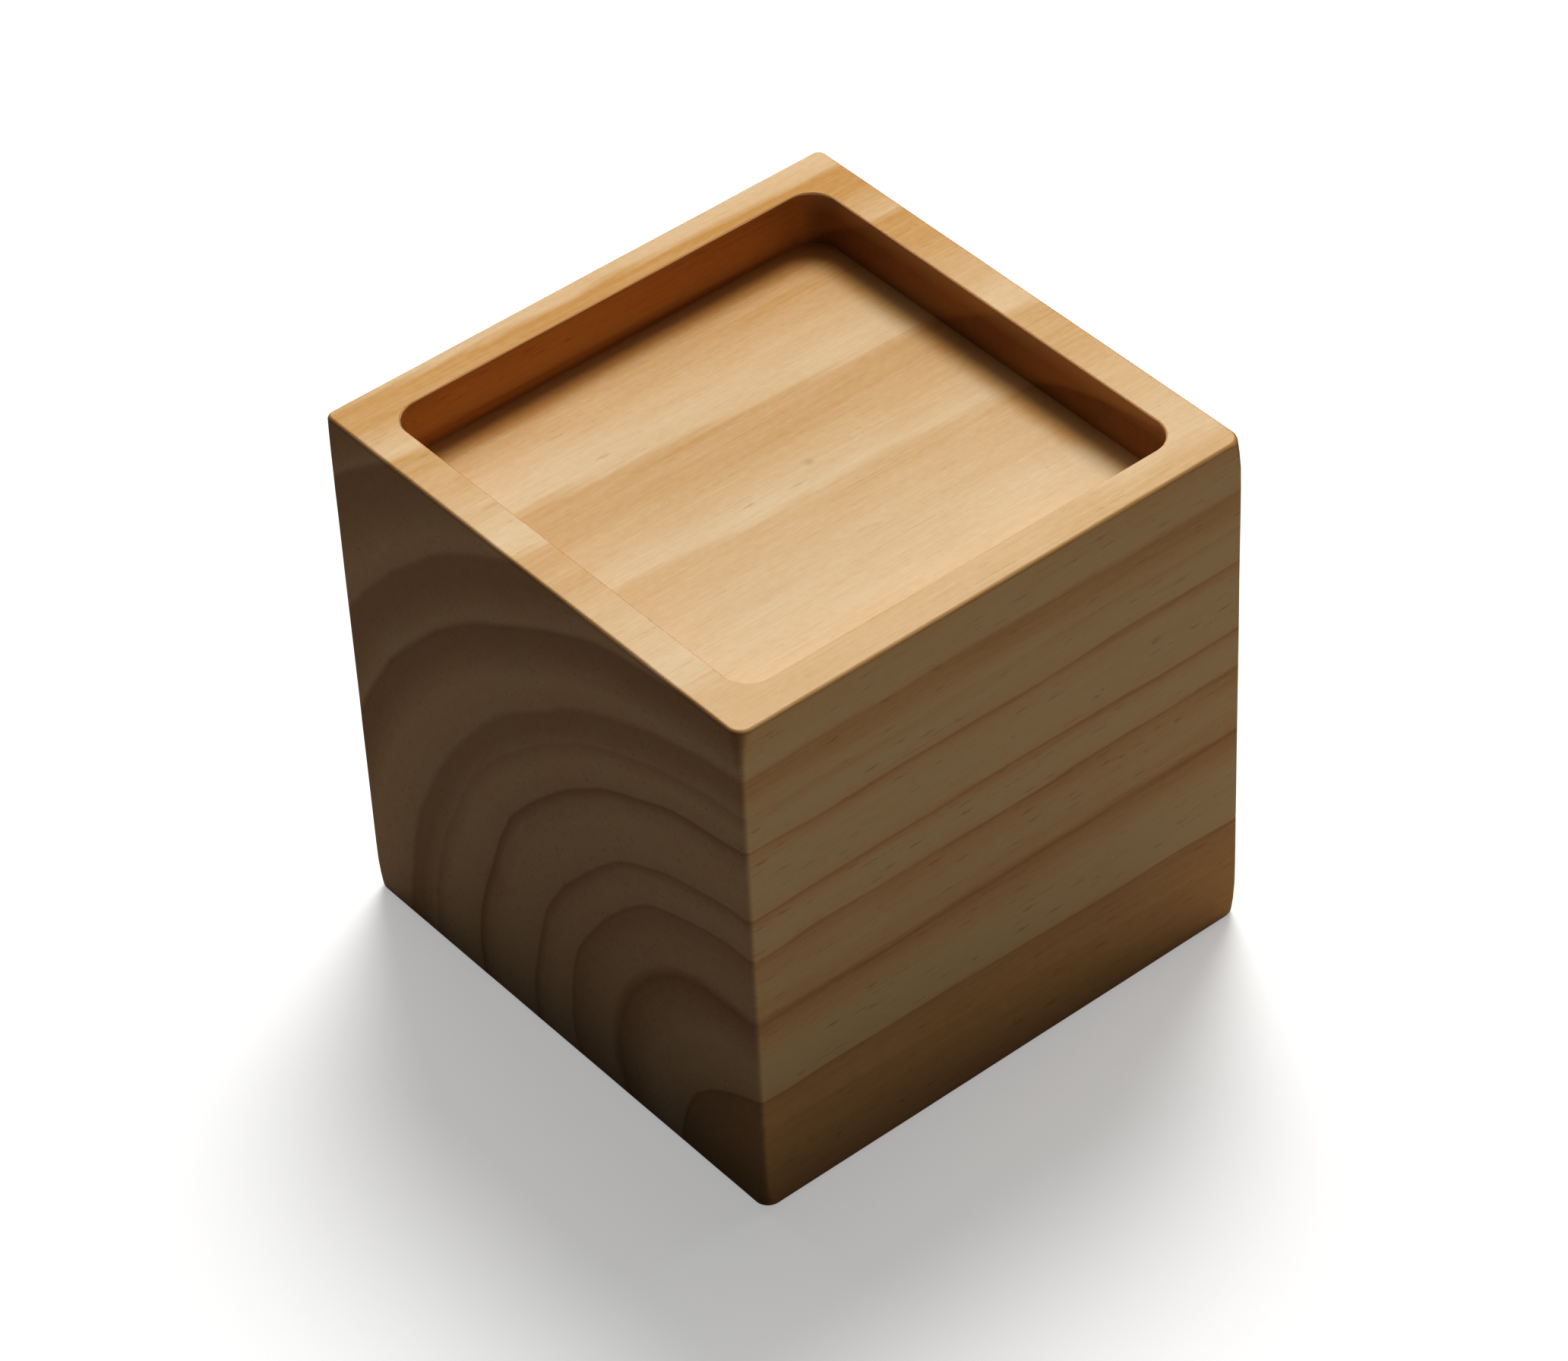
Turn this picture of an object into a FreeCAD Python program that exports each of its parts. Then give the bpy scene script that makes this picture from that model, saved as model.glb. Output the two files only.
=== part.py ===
import FreeCAD, Part

import os

# Bed riser: a cube of solid pine, with a square pocket milled in its top for the foot of a bed leg.
# Millimetres. The origin is the middle of the underside, +Z is up, and the wood's grain runs along X.

# The block
block_length = 100.0  # along the grain, X
block_width = 100.0  # across the grain, Y
block_height = 100.0
corner_round = 1.6  # the four upright corners
top_arris_round = 0.6  # the edges around the top
base_arris_round = 1.0  # the edges around the underside

# The pocket for the leg
rim_width = 7.0  # wall left standing all round
pocket_depth = 10.0
cutter_radius = 5.0  # left in the pocket's upright corners by the milling cutter
mouth_round = 0.25  # sharp edge sanded off around the mouth

# A round arris can only follow an upright corner that is rounder than itself.
arris_limit = 0.9 * corner_round
same_place = 1e-6


def rounded_rectangle(length, width, radius, level):
    """A level face about the Z axis, with a quarter circle at each corner."""
    middle_x = length / 2 - radius
    middle_y = width / 2 - radius
    up = FreeCAD.Vector(0, 0, 1)
    quarters = []
    for turn, (side_x, side_y) in enumerate([(1, 1), (-1, 1), (-1, -1), (1, -1)]):
        middle = FreeCAD.Vector(side_x * middle_x, side_y * middle_y, level)
        quarters.append(Part.makeCircle(radius, middle, up, 90 * turn, 90 * turn + 90))
    outline = []
    for quarter, following in zip(quarters, quarters[1:] + quarters[:1]):
        outline.append(quarter)
        outline.append(Part.makeLine(quarter.Vertexes[-1].Point, following.Vertexes[0].Point))
    return Part.Face(Part.Wire(outline))


def edges_at(shape, level):
    """The edges that lie flat at a height."""
    return [edge for edge in shape.Edges
            if abs(edge.BoundBox.ZMin - level) < same_place
            and abs(edge.BoundBox.ZMax - level) < same_place]


def sawn_block():
    """The squared block, with its corners and the edges of its top and underside rounded."""
    block = rounded_rectangle(block_length, block_width, corner_round, 0)
    block = block.extrude(FreeCAD.Vector(0, 0, block_height))
    block = block.makeFillet(min(base_arris_round, arris_limit), edges_at(block, 0))
    return block.makeFillet(min(top_arris_round, arris_limit), edges_at(block, block_height))


def mill_pocket(block):
    """The block with its leg pocket, flat-floored and sharp at the foot of its walls."""
    pocket_length = block_length - 2 * rim_width
    pocket_width = block_width - 2 * rim_width
    floor_level = block_height - pocket_depth
    cutter_path = rounded_rectangle(pocket_length, pocket_width, cutter_radius, floor_level)
    milled = block.cut(cutter_path.extrude(FreeCAD.Vector(0, 0, 2 * pocket_depth)))
    mouth = [edge for edge in edges_at(milled, block_height)
             if max(edge.BoundBox.XMax, -edge.BoundBox.XMin) < pocket_length / 2 + same_place
             and max(edge.BoundBox.YMax, -edge.BoundBox.YMin) < pocket_width / 2 + same_place]
    return milled.makeFillet(mouth_round, mouth)


os.makedirs("parts", exist_ok=True)
riser_block = mill_pocket(sawn_block())
riser_block.exportStep("parts/riser_block.step")
print("riser_block:", len(riser_block.Solids), "solid,", round(riser_block.Volume), "cubic mm")
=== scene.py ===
import math

import bpy
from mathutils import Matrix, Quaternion, Vector


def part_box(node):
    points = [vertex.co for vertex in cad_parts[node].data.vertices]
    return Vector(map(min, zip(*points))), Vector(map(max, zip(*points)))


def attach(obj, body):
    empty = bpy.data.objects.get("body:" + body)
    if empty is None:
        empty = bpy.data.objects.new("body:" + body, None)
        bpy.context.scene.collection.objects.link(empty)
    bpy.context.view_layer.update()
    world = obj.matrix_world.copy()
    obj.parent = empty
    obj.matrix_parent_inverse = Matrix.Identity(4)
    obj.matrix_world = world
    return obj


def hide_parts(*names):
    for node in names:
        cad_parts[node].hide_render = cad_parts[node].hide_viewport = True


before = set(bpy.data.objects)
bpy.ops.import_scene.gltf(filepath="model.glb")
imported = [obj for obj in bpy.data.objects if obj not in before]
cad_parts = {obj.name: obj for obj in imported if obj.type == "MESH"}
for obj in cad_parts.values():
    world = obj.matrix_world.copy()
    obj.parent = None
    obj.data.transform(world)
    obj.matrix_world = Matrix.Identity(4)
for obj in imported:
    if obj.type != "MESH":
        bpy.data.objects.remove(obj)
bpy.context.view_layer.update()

blockLow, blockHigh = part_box("riser_block")
print("frame loaded, block", [round(1000 * side, 1) for side in blockHigh - blockLow], "mm")


def addNode(tree, kind, inputs=None, **settings):
    made = tree.nodes.new(kind)
    for name, value in settings.items():
        setattr(made, name, value)
    for name, value in (inputs or {}).items():
        if isinstance(value, bpy.types.NodeSocket):
            tree.links.new(value, made.inputs[name])
        else:
            made.inputs[name].default_value = value
    return made


def calc(tree, operation, *values, clamp=False):
    inputs = dict(enumerate(values))
    return addNode(tree, "ShaderNodeMath", inputs, operation=operation, use_clamp=clamp).outputs[0]


def vectorCalc(tree, operation, *values):
    made = addNode(tree, "ShaderNodeVectorMath", dict(enumerate(values)), operation=operation)
    return made.outputs["Value" if operation in ("DISTANCE", "LENGTH") else "Vector"]


def vectorOf(tree, **sides):
    return addNode(tree, "ShaderNodeCombineXYZ", sides).outputs[0]


def sidesOf(tree, vector):
    return addNode(tree, "ShaderNodeSeparateXYZ", {"Vector": vector}).outputs


def between(tree, value, limits, **settings):
    # 0 at the first limit, 1 at the second
    inputs = {"Value": value, "From Min": limits[0], "From Max": limits[1]}
    return addNode(tree, "ShaderNodeMapRange", inputs, **settings).outputs["Result"]


def shareOn(tree, mask, share, elsewhere=1.0):
    # one share where the mask is full, another where it is empty
    return calc(tree, "MULTIPLY_ADD", mask, share - elsewhere, elsewhere)


def opposite(tree, mask):
    return calc(tree, "SUBTRACT", 1.0, mask)


# Sanded pine. Lengths are in mm, from the middle of the underside.
pine = {
    "paleWood": (0.80, 0.625, 0.415),  # spring growth
    "bandWood": (0.73, 0.5235, 0.3065),  # a ring's band, on level faces
    "darkWood": (0.60, 0.335, 0.105),  # its line, autumn growth at its darkest
    "bandSide": (0.775, 0.525, 0.312),  # the same two on the upright faces, redder
    "darkSide": (0.60, 0.345, 0.18),
    "bandTone": 0.35,  # how far the band's colour is from pale to dark
    "sideTint": (1.0, 0.99, 0.93),
    "sideCrispness": 1.4,  # thinner lines on the upright long faces
    "heart": (0.0, -50.0, -4.0),  # the fine layers are counted from here
    "heartWood": (1.0, 0.92, 0.79),  # redder inside the second ring
    "heartReach": (2.0, -8.0),  # from that ring outwards, where it begins and where it is full
    "outerReach": (105.0, 145.0),  # far from the heart the wood browns a little
    "outerLean": 0.3,
    "outerTone": 0.20,
    "drift": 0.065,  # how far the rings walk sideways along the grain
    "driftFrom": 50.0,
    "shoulder": 3.5,  # faint darkening outside each ring
    "shoulderTone": 0.2,
    "lineFade": 0.7,  # from the line to the band
    "lineShare": 0.55,
    "bandKnee": 0.35,  # share of the band that keeps its tone
    "rippleOnEnd": -0.7,  # the rings ripple less on the cut ends, more on level faces
    "rippleOnTop": 0.7,
    "layerLength": 60.0,
    "fineOnTop": 0.6,  # fibres show less on level faces than on upright ones
    "fineOnSide": 1.5,
    "endFacing": (0.2, 0.9),  # how squarely a face has to look along the grain to be cut end
    "endGrainAndShade": (0.565, 0.52, 0.52),  # end grain drinks the light; partly painted shade too, set darker and cooler than the wood alone would be, as for a cut end standing in shade
    "endTint": 0.42,  # rings on the end are darker, but hardly browner
    "endDarkening": 0.33,
    "pocketFloorTone": (0.94, 0.935, 0.925),  # the pocket's floor, a little darker than the rim
    "wallShade": (0.98, 0.65, 0.28),  # painted shade on the pocket's walls, darker and more orange
    "backWallShade": 0.2,  # how much of that painted shade on the walls that look towards the back, towards the lamps
    "frontFacing": (0.7, -0.7),
    "footShade": (1.0, 0.83, 0.56),  # painted shade, darker and more orange, on the floor along the foot of the two far walls, where their shadow falls
    "footReach": (36.4, 39.6),
    "footWander": 6.0,
    "farFoot": (-12.0, 12.0),
    "mouthHighlight": (0.95, 0.58, 0.27),  # painted highlight: the sharp edge at the top of those walls, coloured as if light came through it
    "mouthReach": 46.0,
    "mouthGlow": 0.35,  # and a painted glow a little way down the end grain
    "glowReach": (96.0, 100.0),
    "roundedEdgeTone": (0.90, 0.75, 0.52),  # rounded edges, a little darker and browner
    "edgeSpread": 1.8,
    "resin": (0.36, 0.17, 0.06),
    "resinShare": 0.48,
    "resinOnTop": 0.7,
    "resinStreaks": (-0.24, 0.06),  # the canals lie in streaks
    "spotPlace": (5.0, 0.0, 90.0),  # a faint grey fleck in the pocket's floor
    "spotRadius": 1.2,
    "spotColour": (0.34, 0.25, 0.15),
    "spotShare": 0.36,
    "roughness": 0.76,
    "roughOnDark": -0.10,
    "roughOnFibres": 0.25,
    "reliefFine": 0.4,
    "bumpStrength": 0.4,
    "bumpDepth": 0.00012,  # metres
    "specular": 0.15,
    "seed": 4.0,
    "seedStep": (1.0, 7.0, 13.0),
    "dashStep": (1.0, 3.0, 5.0),
}

# Noise in the wood: length and width of its patches in mm, detail, seed and strength. The first four move
# the rings or the canals by mm, the others change the tone.
grain = {
    "wander": dict(along=75.0, across=20.0, detail=1.0, seed=1.0, strength=3.0),
    "ripple": dict(along=22.0, across=5.0, detail=1.0, seed=2.0, strength=1.2),
    "feather": dict(along=12.0, across=0.8, detail=0.0, seed=4.0, strength=0.88),
    "sway": dict(along=1.5, across=0.8, detail=1.0, seed=16.0, strength=0.9),
    "layers": dict(along=1.0, across=1.5, detail=2.0, seed=3.0, strength=0.18),
    "fibres": dict(along=22.0, across=0.34, detail=1.0, seed=5.0, strength=0.20),
    "fineFibres": dict(along=4.0, across=0.14, detail=0.0, seed=6.0, strength=0.7),  # against the fibres
    "clouds": dict(along=70.0, across=16.0, detail=1.0, seed=7.0, strength=0.20),
    "resinStreaks": dict(along=120.0, across=5.0, detail=1.0, seed=8.0),
    "streaky": dict(along=26.0, across=0.7, detail=1.0, seed=12.0, strength=0.45),
    "mottle": dict(along=17.0, across=3.0, detail=2.0, seed=14.0, strength=0.30),
    "blotches": dict(along=1.8, across=1.0, detail=2.0, seed=15.0, strength=0.30),
}

# Resin canals: length and width of their cells in mm, size in the cell, and the share of cells that have one,
# on upright and on level faces.
resinCanals = {
    "short": dict(along=9.0, across=1.4, size=0.24, onSide=0.8, onTop=0.08, seed=9.0),
    "long": dict(along=60.0, across=1.0, size=0.15, onSide=0.9, onTop=0.9, seed=11.0),
}

# Growth rings, counted from the heart, which lies near the front lower edge. Millimetres on the end face:
# middle of the ring, its radius, softness of its outer edge, how dark its line and its band are, band width,
# and how much stronger it shows on the cut ends.
growthRings = [
    dict(across=-54.8, up=-0.3, radius=17.8, edge=0.6, line=0.60, band=0.52, width=30, onEnd=1.0),
    dict(across=-54.8, up=-0.9, radius=25.4, edge=0.4, line=0.95, band=0.52, width=18, onEnd=1.1),
    dict(across=-45.4, up=10.0, radius=31.6, edge=2.2, line=1.00, band=0.52, width=9, onEnd=1.05),
    dict(across=-45.4, up=10.0, radius=36.0, edge=3.0, line=0.38, band=0.38, width=5, onEnd=0.2),
    dict(across=-48.1, up=9.0, radius=45.2, edge=0.5, line=0.88, band=0.28, width=13, onEnd=0.95),
    dict(across=-50.7, up=4.7, radius=57.8, edge=0.5, line=0.88, band=0.26, width=5, onEnd=0.95),
    dict(across=-53.4, up=1.9, radius=74.8, edge=0.5, line=0.84, band=0.26, width=5, onEnd=1.2),
    dict(across=-54.2, up=-3.8, radius=88.0, edge=0.8, line=0.40, band=0.24, width=3, onEnd=1.2),
    dict(across=-59.5, up=-8.9, radius=100.5, edge=1.2, line=0.72, band=0.62, width=7, onEnd=1.05),
    dict(across=-49.6, up=-9.9, radius=110.5, edge=1.0, line=0.38, band=0.30, width=9, onEnd=2.6),
    dict(across=-48.2, up=-8.0, radius=119.65, edge=1.0, line=0.56, band=0.54, width=11, onEnd=1.45),
    dict(across=-48.0, up=-18.0, radius=144.3, edge=1.1, line=0.70, band=0.58, width=14, onEnd=1.2),
    dict(across=-48.0, up=-18.0, radius=153.4, edge=1.1, line=0.76, band=0.70, width=9, onEnd=1.0),
]
ringReach = 40.0  # mm, longest band that a ring's ramp covers


def squeezed(tree, place, size, shift):
    # a space in which one patch of grain is as long as wide
    scaling = (1 / size["along"], 1 / size["across"], 1 / size["across"])
    mapping = addNode(tree, "ShaderNodeMapping", {"Vector": place, "Location": shift, "Scale": scaling})
    return mapping.outputs[0]


def grainNoise(tree, place, name):
    # patches of noise around zero, stretched along the grain
    size = grain[name]
    shift = [step * size["seed"] for step in pine["seedStep"]]
    shift[0] += pine["seed"]
    inputs = {"Vector": squeezed(tree, place, size, shift), "Scale": 1.0, "Detail": size["detail"]}
    noise = addNode(tree, "ShaderNodeTexNoise", inputs, noise_dimensions="3D").outputs["Fac"]
    return calc(tree, "SUBTRACT", noise, 0.5)


def ringTone(tree, ringPlace, wave, cutEnd, ring):
    # 0 outside the ring, faint in its shoulder, a dark line just inside its edge, then a band that fades
    # towards the heart
    middle = (0.0, ring["across"], ring["up"])
    depth = calc(tree, "SUBTRACT", wave, vectorCalc(tree, "DISTANCE", ringPlace, middle))
    depth = calc(tree, "ADD", depth, ring["radius"] + ring["edge"] / 2 + pine["shoulder"])
    profile = addNode(tree, "ShaderNodeValToRGB", {"Fac": calc(tree, "DIVIDE", depth, ringReach)})
    inside = pine["shoulder"] + ring["edge"]
    faded = pine["lineShare"] * ring["line"] + (1 - pine["lineShare"]) * ring["band"]
    stops = [
        (0.0, 0.0),
        (pine["shoulder"], pine["shoulderTone"] * ring["line"]),
        (inside, ring["line"]),
        (inside + pine["lineFade"], faded),
        (inside + pine["bandKnee"] * ring["width"], ring["band"]),
        (inside + ring["width"], 0.0),
    ]
    colours = profile.color_ramp
    while len(colours.elements) < len(stops):
        colours.elements.new(0.5)
    for element, (depthStop, tone) in zip(colours.elements, stops):
        element.position = depthStop / ringReach
        element.color = (tone, tone, tone, 1.0)
    return calc(tree, "MULTIPLY", profile.outputs["Color"], shareOn(tree, cutEnd, ring["onEnd"]))


def resinDashes(tree, place, level, canal):
    # dark canals: small balls in a space squeezed along the grain, some of them left out
    shift = [step * canal["seed"] for step in pine["dashStep"]]
    inputs = {"Vector": squeezed(tree, place, canal, shift), "Scale": 1.0, "Randomness": 1.0}
    cells = addNode(tree, "ShaderNodeTexVoronoi", inputs, voronoi_dimensions="3D", feature="F1")
    near = between(tree, cells.outputs["Distance"], (canal["size"], 0.0))
    chance = addNode(tree, "ShaderNodeSeparateColor", {"Color": cells.outputs["Color"]}).outputs["Red"]
    share = shareOn(tree, level, canal["onTop"], canal["onSide"])
    return calc(tree, "MULTIPLY", near, calc(tree, "LESS_THAN", chance, share))


def mixColours(tree, factor, first, second, blend="MIX"):
    mixed = addNode(tree, "ShaderNodeMix", {"Factor": factor}, data_type="RGBA", blend_type=blend)
    for socket, colour in ((mixed.inputs[6], first), (mixed.inputs[7], second)):
        if isinstance(colour, bpy.types.NodeSocket):
            tree.links.new(colour, socket)
        else:
            socket.default_value = (*colour, 1.0)
    return mixed.outputs[2]


def sandedPine():
    material = bpy.data.materials.new("sandedPine")
    material.use_nodes = True
    tree = material.node_tree
    tree.nodes.clear()
    coordinates = addNode(tree, "ShaderNodeTexCoord")
    place = vectorCalc(tree, "MULTIPLY", coordinates.outputs["Object"], (1000, 1000, 1000))  # mm
    parts = sidesOf(tree, place)
    facing = sidesOf(tree, coordinates.outputs["Normal"])
    alongGrain = calc(tree, "ABSOLUTE", facing["X"])
    acrossGrain = calc(tree, "ABSOLUTE", facing["Y"])
    level = calc(tree, "ABSOLUTE", facing["Z"])
    cutEnd = between(tree, alongGrain, pine["endFacing"], interpolation_type="SMOOTHSTEP")
    onSide = calc(tree, "MULTIPLY", opposite(tree, cutEnd), opposite(tree, level))

    def noise(name):
        return grainNoise(tree, place, name)

    def scaled(name):
        return calc(tree, "MULTIPLY", noise(name), grain[name]["strength"])

    # rings: they walk sideways along the grain, and wave a little
    walked = calc(tree, "ADD", parts["X"], pine["driftFrom"])
    walked = calc(tree, "MULTIPLY_ADD", walked, pine["drift"], parts["Y"])
    ringPlace = vectorOf(tree, Y=walked, Z=parts["Z"])
    rippleShare = calc(tree, "MULTIPLY_ADD", level, pine["rippleOnTop"], 1.0)
    rippleShare = calc(tree, "MULTIPLY_ADD", cutEnd, pine["rippleOnEnd"], rippleShare)
    ripple = calc(tree, "MULTIPLY", scaled("ripple"), rippleShare)
    feather = calc(tree, "MULTIPLY", scaled("feather"), opposite(tree, cutEnd))
    wave = calc(tree, "ADD", calc(tree, "ADD", scaled("wander"), ripple), feather)
    rings = ringTone(tree, ringPlace, wave, cutEnd, growthRings[0])
    for ring in growthRings[1:]:
        rings = calc(tree, "MAXIMUM", rings, ringTone(tree, ringPlace, wave, cutEnd, ring))
    rings = calc(tree, "POWER", rings, shareOn(tree, onSide, pine["sideCrispness"]))
    tone = calc(tree, "MULTIPLY", rings, shareOn(tree, cutEnd, pine["endTint"]))
    tone = calc(tree, "MULTIPLY", tone, calc(tree, "ADD", scaled("streaky"), 1.0))

    # fine layers inside each ring, fibres, clouds
    fromHeart = calc(tree, "ADD", vectorCalc(tree, "DISTANCE", ringPlace, pine["heart"]), wave)
    outward = calc(tree, "MULTIPLY_ADD", parts["X"], pine["outerLean"], fromHeart)
    outerWood = between(tree, outward, pine["outerReach"])
    tone = calc(tree, "MULTIPLY_ADD", outerWood, pine["outerTone"], tone)
    alongLayer = calc(tree, "DIVIDE", parts["X"], pine["layerLength"])
    layers = grainNoise(tree, vectorOf(tree, X=alongLayer, Y=fromHeart), "layers")
    fibres = noise("fibres")
    fineFibres = noise("fineFibres")
    clouds = noise("clouds")
    fine = calc(tree, "MULTIPLY_ADD", fineFibres, grain["fineFibres"]["strength"], fibres)
    fine = calc(tree, "MULTIPLY", fine, shareOn(tree, level, pine["fineOnTop"], pine["fineOnSide"]))
    details = {"layers": layers, "fibres": fine, "clouds": clouds, "mottle": noise("mottle"),
               "blotches": noise("blotches")}
    for name, detail in details.items():
        tone = calc(tree, "MULTIPLY_ADD", detail, grain[name]["strength"], tone)
    tone = calc(tree, "MAXIMUM", tone, 0.0)
    banded = mixColours(tree, level, pine["bandSide"], pine["bandWood"])
    darkest = mixColours(tree, level, pine["darkSide"], pine["darkWood"])
    colour = mixColours(tree, between(tree, tone, (0.0, pine["bandTone"])), pine["paleWood"], banded)
    colour = mixColours(tree, between(tree, tone, (pine["bandTone"], 1.0)), colour, darkest)
    colour = mixColours(tree, onSide, colour, pine["sideTint"], "MULTIPLY")
    heartRing = growthRings[1]
    heartDistance = vectorCalc(tree, "DISTANCE", ringPlace, (0.0, heartRing["across"], heartRing["up"]))
    heartDistance = calc(tree, "SUBTRACT", heartDistance, wave)
    heart = between(tree, heartDistance, [heartRing["radius"] + reach for reach in pine["heartReach"]])
    colour = mixColours(tree, heart, colour, pine["heartWood"], "MULTIPLY")

    # resin canals with ragged outlines, and the fleck
    sway = scaled("sway")
    ragged = vectorCalc(tree, "ADD", place, vectorOf(tree, Y=sway, Z=sway))
    shortDashes = resinDashes(tree, ragged, level, resinCanals["short"])
    longDashes = resinDashes(tree, ragged, level, resinCanals["long"])
    streaks = between(tree, noise("resinStreaks"), pine["resinStreaks"])
    dashes = calc(tree, "MULTIPLY", calc(tree, "MAXIMUM", shortDashes, longDashes), streaks)
    dashes = calc(tree, "MULTIPLY", dashes, shareOn(tree, level, pine["resinOnTop"]))
    colour = mixColours(tree, calc(tree, "MULTIPLY", dashes, pine["resinShare"]), colour, pine["resin"])
    spot = between(tree, vectorCalc(tree, "DISTANCE", place, pine["spotPlace"]), (pine["spotRadius"], 0.0))
    colour = mixColours(tree, calc(tree, "MULTIPLY", spot, pine["spotShare"]), colour, pine["spotColour"])

    # cut surfaces, with painted shade and highlight: end grain (partly painted shade), pocket floor, painted
    # shade on the walls and along the foot of the far walls, rounded edges, a painted highlight at the mouth
    # cut ends: the end grain's own tone, darkened further as painted shade
    colour = mixColours(tree, cutEnd, colour, pine["endGrainAndShade"], "MULTIPLY")
    ringShade = calc(tree, "MULTIPLY", calc(tree, "MULTIPLY", rings, cutEnd), pine["endDarkening"])
    colour = mixColours(tree, ringShade, colour, (0.0, 0.0, 0.0))
    sanded = addNode(tree, "ShaderNodeAttribute", attribute_name="sanded").outputs["Fac"]
    milled = opposite(tree, sanded)
    floorMask = calc(tree, "MULTIPLY", milled, level, clamp=True)
    # painted shade: the pocket's walls, full on those that look towards the front
    shadedWallMask = calc(tree, "MULTIPLY", milled, opposite(tree, level), clamp=True)
    towardsFront = between(tree, calc(tree, "ADD", facing["X"], facing["Y"]), pine["frontFacing"])
    shadedWallMask = calc(tree, "MULTIPLY", shadedWallMask, shareOn(tree, towardsFront, 1.0, pine["backWallShade"]))
    upright = calc(tree, "ADD", alongGrain, acrossGrain)
    edgeMask = calc(tree, "MULTIPLY", calc(tree, "MULTIPLY", level, upright), pine["edgeSpread"], clamp=True)
    fromMiddle = calc(tree, "MAXIMUM", calc(tree, "ABSOLUTE", parts["X"]), calc(tree, "ABSOLUTE", parts["Y"]))
    # painted highlight at the mouth of the walls that look towards the front, and a painted glow down their
    # end grain
    atMouth = calc(tree, "MULTIPLY", calc(tree, "LESS_THAN", fromMiddle, pine["mouthReach"]), towardsFront)
    mouthHighlightMask = calc(tree, "MULTIPLY", edgeMask, atMouth)
    edgeMask = calc(tree, "SUBTRACT", edgeMask, mouthHighlightMask)
    endGlow = calc(tree, "MULTIPLY", shadedWallMask, cutEnd)
    endGlow = calc(tree, "MULTIPLY", endGlow, between(tree, parts["Z"], pine["glowReach"]))
    mouthHighlightMask = calc(tree, "MULTIPLY_ADD", endGlow, pine["mouthGlow"], mouthHighlightMask)
    # painted shade: a wandering band on the floor along the foot of the two far walls
    footPlace = calc(tree, "MULTIPLY_ADD", clouds, pine["footWander"], fromMiddle)
    atFoot = between(tree, footPlace, pine["footReach"], interpolation_type="SMOOTHSTEP")
    farFoot = between(tree, calc(tree, "ADD", parts["X"], parts["Y"]), pine["farFoot"])
    footShadeMask = calc(tree, "MULTIPLY", calc(tree, "MULTIPLY", floorMask, atFoot), farFoot)
    colour = mixColours(tree, floorMask, colour, pine["pocketFloorTone"], "MULTIPLY")
    # painted shade along the foot of the far walls
    colour = mixColours(tree, footShadeMask, colour, pine["footShade"], "MULTIPLY")
    # painted shade on the pocket's walls
    colour = mixColours(tree, shadedWallMask, colour, pine["wallShade"], "MULTIPLY")
    colour = mixColours(tree, edgeMask, colour, pine["roundedEdgeTone"], "MULTIPLY")
    # painted highlight and glow at the mouth
    colour = mixColours(tree, mouthHighlightMask, colour, pine["mouthHighlight"])

    rough = calc(tree, "MULTIPLY_ADD", tone, pine["roughOnDark"], pine["roughness"])
    rough = calc(tree, "MULTIPLY_ADD", fibres, pine["roughOnFibres"], rough)
    relief = calc(tree, "MULTIPLY_ADD", fineFibres, pine["reliefFine"], fibres)
    inputs = {"Strength": pine["bumpStrength"], "Distance": pine["bumpDepth"], "Height": relief}
    bump = addNode(tree, "ShaderNodeBump", inputs).outputs["Normal"]
    inputs = {
        "Base Color": colour,
        "Roughness": rough,
        "Specular IOR Level": pine["specular"],
        "Normal": bump,
    }
    shader = addNode(tree, "ShaderNodeBsdfPrincipled", inputs)
    addNode(tree, "ShaderNodeOutputMaterial", {"Surface": shader.outputs[0]})
    return material


# The block, in metres.
riserBlock = {
    "cornerRound": 0.0011,  # upright corners, halfway up
    "baseTip": 0.0015,  # added roundness at the lower ends of the corners
    "topTip": 0.00095,  # and at the upper ends
    "tipReach": 0.008,  # how far up or down a tip is felt
    "tipSwing": 0.96,  # upper tips: the front two are rounder than the back two
    "baseArris": 0.0010,
    "topArris": 0.0006,
    "rimWidth": 0.0070,
    "pocketDepth": 0.0100,
    "cutterRadius": 0.0050,  # the pocket's own corners
    "mouthRound": 0.00025,
    "roundSteps": 8,
    "cornerSteps": 16,
    "sideSteps": 40,
    "flatRows": 20,
    "sandingDepth": 0.00020,  # hand sanding takes a little off the edges, here more, there less
    "sandingPatch": 0.011,
    "sandingSeed": 2.0,
    "weld": 1e-6,
    "sharpFrom": 35,  # degrees; flatter edges are shaded smooth
}


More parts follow.
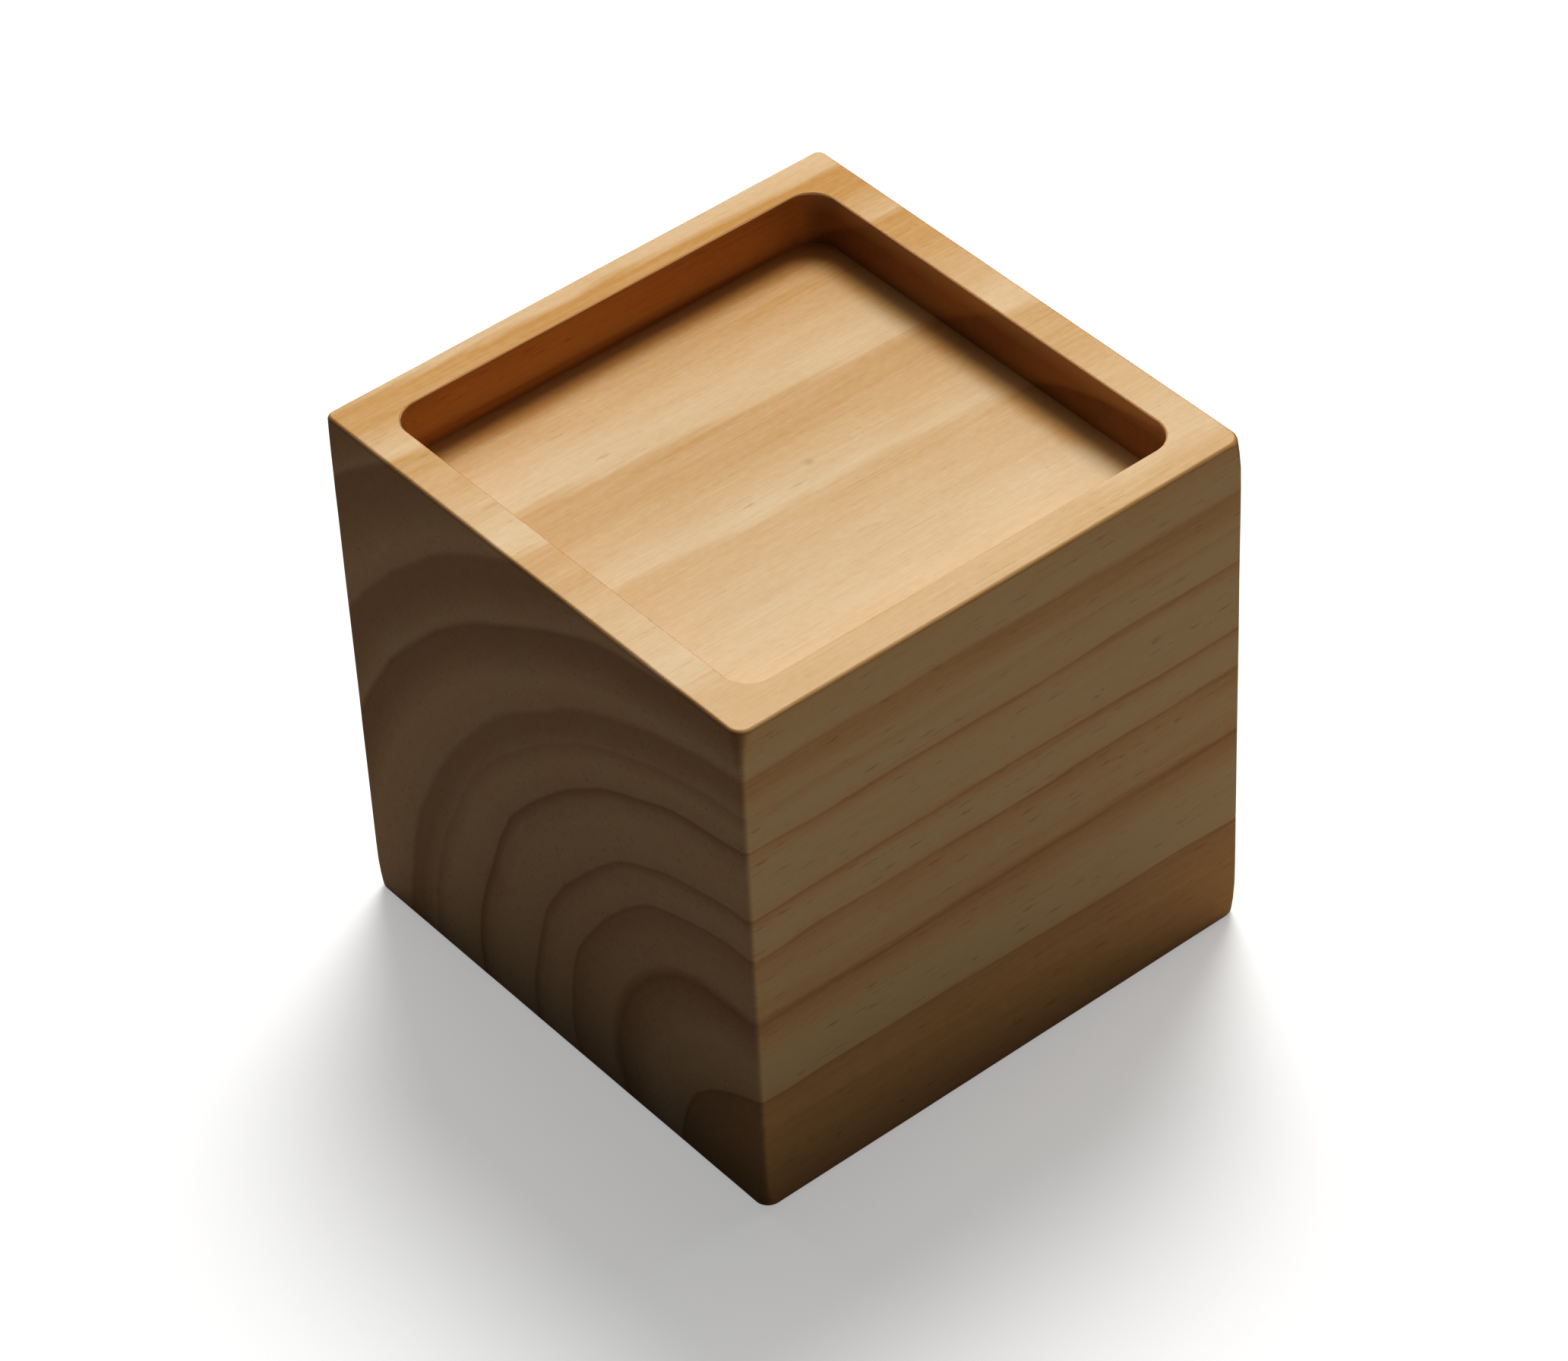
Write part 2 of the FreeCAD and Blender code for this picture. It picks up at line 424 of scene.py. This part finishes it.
def halfSection(size, half, height):
    # from the middle of the underside, up the side, over the rim, down the pocket to its middle: inset from
    # the side, roundness of the corner in plan, height, reach of the sandpaper, added tip roundness
    rows = []
    base, top, mouth = size["baseArris"], size["topArris"], size["mouthRound"]
    rim, cutter, upright = size["rimWidth"], size["cutterRadius"], size["cornerRound"]
    floorLevel = height - size["pocketDepth"]
    quarter = [math.pi / 2 * step / size["roundSteps"] for step in range(size["roundSteps"] + 1)]
    flat = [step / size["flatRows"] for step in range(size["flatRows"] + 1)]
    tight = [(1 - math.cos(math.pi * part)) / 2 for part in flat]  # close rows at both ends

    def tipShare(distance):
        return max(0.0, 1 - distance / size["tipReach"]) ** 2

    def sideRow(inset, level):
        corner = upright + size["baseTip"] * tipShare(level)
        rows.append((inset, corner - inset, level, 1, size["topTip"] * tipShare(height - level)))

    for part in flat[:-1]:
        reach = math.sin(math.pi / 2 * part)
        rows.append((half - (half - base) * reach, (upright + size["baseTip"] - base) * reach, 0.0, 1, 0.0))
    for turn in quarter:
        sideRow(base * (1 - math.sin(turn)), base * (1 - math.cos(turn)))
    for part in tight[1:-1]:
        sideRow(0.0, base + part * (height - base - top))
    for turn in quarter:
        sideRow(top * (1 - math.cos(turn)), height - top * (1 - math.sin(turn)))
    for part in tight[1:-1]:
        inset = top + part * (rim - mouth - top)
        corner = upright - top + part * (cutter + mouth - upright + top)
        rows.append((inset, corner, height, 1, size["topTip"] * (1 - part)))
    for turn in quarter:
        spare = mouth * (1 - math.sin(turn))
        rows.append((rim - spare, cutter + spare, height - mouth * (1 - math.cos(turn)), 1, 0.0))
    for part in tight[1:-1]:
        rows.append((rim, cutter, height - mouth + part * (floorLevel - height + mouth), 0, 0.0))
    for part in flat:
        reach = 1 - math.cos(math.pi / 2 * part)
        rows.append((rim + (half - rim) * reach, cutter * (1 - reach), floorLevel, 0, 0.0))
    return rows


def loftTree():
    # lofts the half section round a square with rounded corners
    tree = bpy.data.node_groups.new("squareLoft", "GeometryNodeTree")
    sockets = {
        "Section": "Geometry",
        "Half Side": "Float",
        "Corner Steps": "Int",
        "Side Steps": "Int",
        "Tip Swing": "Float",
        "Sanding Depth": "Float",
        "Sanding Patch": "Float",
        "Seed": "Float",
        "Wood": "Material",
    }
    for name, kind in sockets.items():
        tree.interface.new_socket(name, in_out="INPUT", socket_type="NodeSocket" + kind)
    tree.interface.new_socket("Block", in_out="OUTPUT", socket_type="NodeSocketGeometry")
    given = addNode(tree, "NodeGroupInput").outputs

    section = given["Section"]
    rows = addNode(tree, "GeometryNodeAttributeDomainSize", {"Geometry": section}).outputs["Point Count"]
    perQuarter = calc(tree, "ADD", given["Corner Steps"], given["Side Steps"])
    columns = calc(tree, "MULTIPLY_ADD", perQuarter, 4.0, 1.0)
    grid = addNode(tree, "GeometryNodeMeshGrid", {"Vertices X": rows, "Vertices Y": columns}).outputs["Mesh"]
    number = calc(tree, "ADD", addNode(tree, "GeometryNodeInputIndex").outputs[0], 0.5)
    row = calc(tree, "FLOOR", calc(tree, "DIVIDE", number, columns))
    column = calc(tree, "FLOOR", calc(tree, "SUBTRACT", number, calc(tree, "MULTIPLY", row, columns)))

    # which quarter, how far round its corner, how far along its side
    quarter = calc(tree, "FLOOR", calc(tree, "DIVIDE", calc(tree, "ADD", column, 0.5), perQuarter))
    nextQuarter = calc(tree, "ADD", quarter, 1.0)
    step = calc(tree, "SUBTRACT", column, calc(tree, "MULTIPLY", quarter, perQuarter))
    turn = calc(tree, "MINIMUM", calc(tree, "DIVIDE", step, given["Corner Steps"]), 1.0)
    along = calc(tree, "SUBTRACT", step, given["Corner Steps"])
    along = calc(tree, "DIVIDE", along, given["Side Steps"], clamp=True)
    along = calc(tree, "COSINE", calc(tree, "MULTIPLY", along, math.pi))
    along = calc(tree, "MULTIPLY_ADD", along, -0.5, 0.5)

    def pointing(angle):
        return vectorOf(tree, X=calc(tree, "COSINE", angle), Y=calc(tree, "SINE", angle))

    def cornerAngle(number):
        return calc(tree, "MULTIPLY_ADD", number, math.pi / 2, math.pi / 4)

    def corner(number):
        return vectorCalc(tree, "MULTIPLY", pointing(cornerAngle(number)), (math.sqrt(2), math.sqrt(2), 0))

    def tipShare(number):
        # corners 0 and 1 are at the back, 2 and 3 in front
        lean = calc(tree, "SINE", cornerAngle(number))
        return calc(tree, "SUBTRACT", 1.0, calc(tree, "MULTIPLY", lean, given["Tip Swing"]))

    def sectionValue(field, kind="FLOAT"):
        # a value of the half section, read at this row
        inputs = {"Geometry": section, "Index": row, "Value": field}
        return addNode(tree, "GeometryNodeSampleIndex", inputs, data_type=kind, domain="POINT").outputs[0]

    def named(name):
        made = addNode(tree, "GeometryNodeInputNamedAttribute", {"Name": name}, data_type="FLOAT")
        return made.outputs["Attribute"]

    towards = addNode(tree, "ShaderNodeMix", {"Factor": along}, data_type="VECTOR")
    tree.links.new(corner(quarter), towards.inputs[4])
    tree.links.new(corner(nextQuarter), towards.inputs[5])
    arc = pointing(calc(tree, "MULTIPLY", calc(tree, "ADD", quarter, turn), math.pi / 2))
    tip = addNode(tree, "ShaderNodeMix", {"Factor": along}, data_type="FLOAT")
    tree.links.new(tipShare(quarter), tip.inputs[2])
    tree.links.new(tipShare(nextQuarter), tip.inputs[3])

    position = addNode(tree, "GeometryNodeInputPosition").outputs[0]
    part = sidesOf(tree, sectionValue(position, "FLOAT_VECTOR"))
    radius = calc(tree, "MULTIPLY_ADD", sectionValue(named("tip")), tip.outputs[0], part["Y"])
    straight = calc(tree, "SUBTRACT", calc(tree, "SUBTRACT", given["Half Side"], part["X"]), radius)
    place = vectorCalc(tree, "MULTIPLY", towards.outputs[1], vectorOf(tree, X=straight, Y=straight))
    rounding = vectorCalc(tree, "MULTIPLY", arc, vectorOf(tree, X=radius, Y=radius))
    place = vectorCalc(tree, "ADD", place, rounding)
    place = vectorCalc(tree, "ADD", place, vectorOf(tree, Z=part["Z"]))

    shaped = addNode(tree, "GeometryNodeSetPosition", {"Geometry": grid, "Position": place}).outputs[0]
    inputs = {"Geometry": shaped, "Name": "sanded", "Value": sectionValue(named("sanded"))}
    marked = addNode(tree, "GeometryNodeStoreNamedAttribute", inputs, data_type="FLOAT", domain="POINT")
    inputs = {"Geometry": marked.outputs[0], "Distance": riserBlock["weld"]}
    closed = addNode(tree, "GeometryNodeMergeByDistance", inputs).outputs[0]
    outward = addNode(tree, "GeometryNodeFlipFaces", {"Mesh": closed}).outputs[0]

    # sandpaper bites on what is round
    normal = addNode(tree, "GeometryNodeInputNormal").outputs[0]
    facing = sidesOf(tree, vectorCalc(tree, "ABSOLUTE", normal))
    rounded = calc(tree, "MULTIPLY", facing["X"], facing["Y"])
    rounded = calc(tree, "MULTIPLY_ADD", facing["Y"], facing["Z"], rounded)
    rounded = calc(tree, "MULTIPLY_ADD", facing["Z"], facing["X"], rounded)
    finer = calc(tree, "DIVIDE", 1.0, given["Sanding Patch"])
    inputs = {"W": given["Seed"], "Detail": 1.0, "Scale": finer}
    patches = addNode(tree, "ShaderNodeTexNoise", inputs, noise_dimensions="4D").outputs["Fac"]
    bite = calc(tree, "MULTIPLY", patches, given["Sanding Depth"])
    bite = calc(tree, "MULTIPLY", calc(tree, "MULTIPLY", rounded, named("sanded")), bite)
    inward = vectorCalc(tree, "MULTIPLY", normal, vectorOf(tree, X=bite, Y=bite, Z=bite))
    inward = vectorCalc(tree, "MULTIPLY", inward, (-1, -1, -1))
    worn = addNode(tree, "GeometryNodeSetPosition", {"Geometry": outward, "Offset": inward}).outputs[0]

    bend = addNode(tree, "GeometryNodeInputMeshEdgeAngle").outputs["Unsigned Angle"]
    inputs = {"A": bend, "B": math.radians(riserBlock["sharpFrom"])}
    soft = addNode(tree, "FunctionNodeCompare", inputs, data_type="FLOAT", operation="LESS_THAN").outputs[0]
    inputs = {"Geometry": worn, "Shade Smooth": soft}
    smooth = addNode(tree, "GeometryNodeSetShadeSmooth", inputs, domain="EDGE").outputs[0]
    whole = addNode(tree, "GeometryNodeRealizeInstances", {"Geometry": smooth}).outputs[0]
    inputs = {"Geometry": whole, "Material": given["Wood"]}
    dressed = addNode(tree, "GeometryNodeSetMaterial", inputs).outputs[0]
    addNode(tree, "NodeGroupOutput", {"Block": dressed})
    return tree


def buildRiserBlock(wood):
    half = (blockHigh.x - blockLow.x) / 2
    rows = halfSection(riserBlock, half, blockHigh.z - blockLow.z)
    section = bpy.data.meshes.new("halfSection")
    section.from_pydata([row[:3] for row in rows], [(first, first + 1) for first in range(len(rows) - 1)], [])
    for name, column in (("sanded", 3), ("tip", 4)):
        stored = section.attributes.new(name, "FLOAT", "POINT")
        for point, row in zip(stored.data, rows):
            point.value = row[column]
    block = bpy.data.objects.new("riserBlock", section)
    bpy.context.scene.collection.objects.link(block)
    loft = block.modifiers.new("squareLoft", "NODES")
    loft.node_group = loftTree()
    values = {
        "Half Side": half,
        "Corner Steps": riserBlock["cornerSteps"],
        "Side Steps": riserBlock["sideSteps"],
        "Tip Swing": riserBlock["tipSwing"],
        "Sanding Depth": riserBlock["sandingDepth"],
        "Sanding Patch": riserBlock["sandingPatch"],
        "Seed": riserBlock["sandingSeed"],
        "Wood": wood,
    }
    for socket in loft.node_group.interface.items_tree:
        if socket.in_out == "INPUT" and socket.name in values:
            loft[socket.identifier] = values[socket.name]
    depsgraph = bpy.context.evaluated_depsgraph_get()
    finished = bpy.data.meshes.new_from_object(block.evaluated_get(depsgraph))
    block.modifiers.remove(loft)
    block.data = finished
    block.data.name = "riserBlock"
    return block


wood = sandedPine()
print("pine mixed,", len(growthRings), "growth rings")
block = buildRiserBlock(wood)
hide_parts("riser_block")
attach(block, "root")
print("block lofted,", len(block.data.polygons), "faces")


# Floor and light. The glow lifts the floor's shadow for the eye, near and far, and lights nothing.
studio = {
    "floorReach": 4.0,
    "floorSeen": (0.60, 0.60, 0.595),
    "floorBounce": (0.54, 0.475, 0.37),
    "floorRoughness": 0.9,
    "floorGlow": (0.45, 1.0),
    "farFloor": (0.7, 2.5),
    "lampsFrom": (1.3, 1.2, 2.83),
    "lamps": {"keyLight": (1.4, 97.0), "softLight": (3.8, 42.0)},  # width and power of each
    "worldSeen": (0.95, 0.95, 0.95),
    "worldLight": (0.08, 0.08, 0.08),
    "gamma": 0.8,
}


def seenOrBounced(tree, seen, bounced):
    # the camera sees one colour, light bounces off another
    path = addNode(tree, "ShaderNodeLightPath")
    return mixColours(tree, path.outputs["Is Camera Ray"], bounced, seen)


def paleFloor():
    reach = studio["floorReach"]
    corners = [(-reach, -reach, 0), (reach, -reach, 0), (reach, reach, 0), (-reach, reach, 0)]
    sheet = bpy.data.meshes.new("floor")
    sheet.from_pydata(corners, [], [(0, 1, 2, 3)])
    floor = bpy.data.objects.new("floor", sheet)
    bpy.context.scene.collection.objects.link(floor)
    paint = bpy.data.materials.new("paleFloor")
    paint.use_nodes = True
    tree = paint.node_tree
    shader = tree.nodes["Principled BSDF"]
    floorColour = seenOrBounced(tree, studio["floorSeen"], studio["floorBounce"])
    tree.links.new(floorColour, shader.inputs["Base Color"])
    coordinates = addNode(tree, "ShaderNodeTexCoord")
    distance = vectorCalc(tree, "LENGTH", coordinates.outputs["Object"])
    glowNear, glowFar = studio["floorGlow"]
    fading = between(tree, distance, studio["farFloor"])
    fading = calc(tree, "MULTIPLY_ADD", fading, glowFar - glowNear, glowNear)
    path = addNode(tree, "ShaderNodeLightPath")
    glow = calc(tree, "MULTIPLY", path.outputs["Is Camera Ray"], fading)
    tree.links.new(glow, shader.inputs["Emission Strength"])
    shader.inputs["Emission Color"].default_value = (1.0, 1.0, 1.0, 1.0)
    shader.inputs["Roughness"].default_value = studio["floorRoughness"]
    shader.inputs["Specular IOR Level"].default_value = 0.0
    sheet.materials.append(paint)


def studioLight():
    for name, (width, power) in studio["lamps"].items():
        lamp = bpy.data.lights.new(name, "AREA")
        lamp.shape = "DISK"
        lamp.size = width
        lamp.energy = power
        holder = bpy.data.objects.new(name, lamp)
        bpy.context.scene.collection.objects.link(holder)
        holder.location = studio["lampsFrom"]
        holder.rotation_euler = Vector(studio["lampsFrom"]).to_track_quat("Z", "Y").to_euler()
    world = bpy.data.worlds.new("studio")
    world.use_nodes = True
    bpy.context.scene.world = world
    tree = world.node_tree
    backdrop = tree.nodes["Background"]
    tree.links.new(seenOrBounced(tree, studio["worldSeen"], studio["worldLight"]), backdrop.inputs["Color"])
    bpy.context.scene.view_settings.view_transform = "Standard"
    bpy.context.scene.view_settings.gamma = studio["gamma"]


viewpoint = {
    "place": (-0.4357, -0.5546, 0.6776),
    "aim": (-0.0027, -0.0009, 0.05),
    "roll": -2.98,  # degrees, the photograph isn't quite level
    "lens": 136.9,
    "sensor": 36.0,
    "farthest": 20.0,
}


def placeCamera():
    camera = bpy.data.objects.new("camera", bpy.data.cameras.new("camera"))
    bpy.context.scene.collection.objects.link(camera)
    camera.data.lens = viewpoint["lens"]
    camera.data.sensor_width = viewpoint["sensor"]
    camera.data.clip_end = viewpoint["farthest"]
    camera.location = viewpoint["place"]
    level = (Vector(viewpoint["aim"]) - Vector(viewpoint["place"])).to_track_quat("-Z", "Y")
    camera.rotation_euler = (level @ Quaternion((0, 0, 1), math.radians(viewpoint["roll"]))).to_euler()
    bpy.context.scene.camera = camera


paleFloor()
studioLight()
placeCamera()
print("floor, light and camera set")
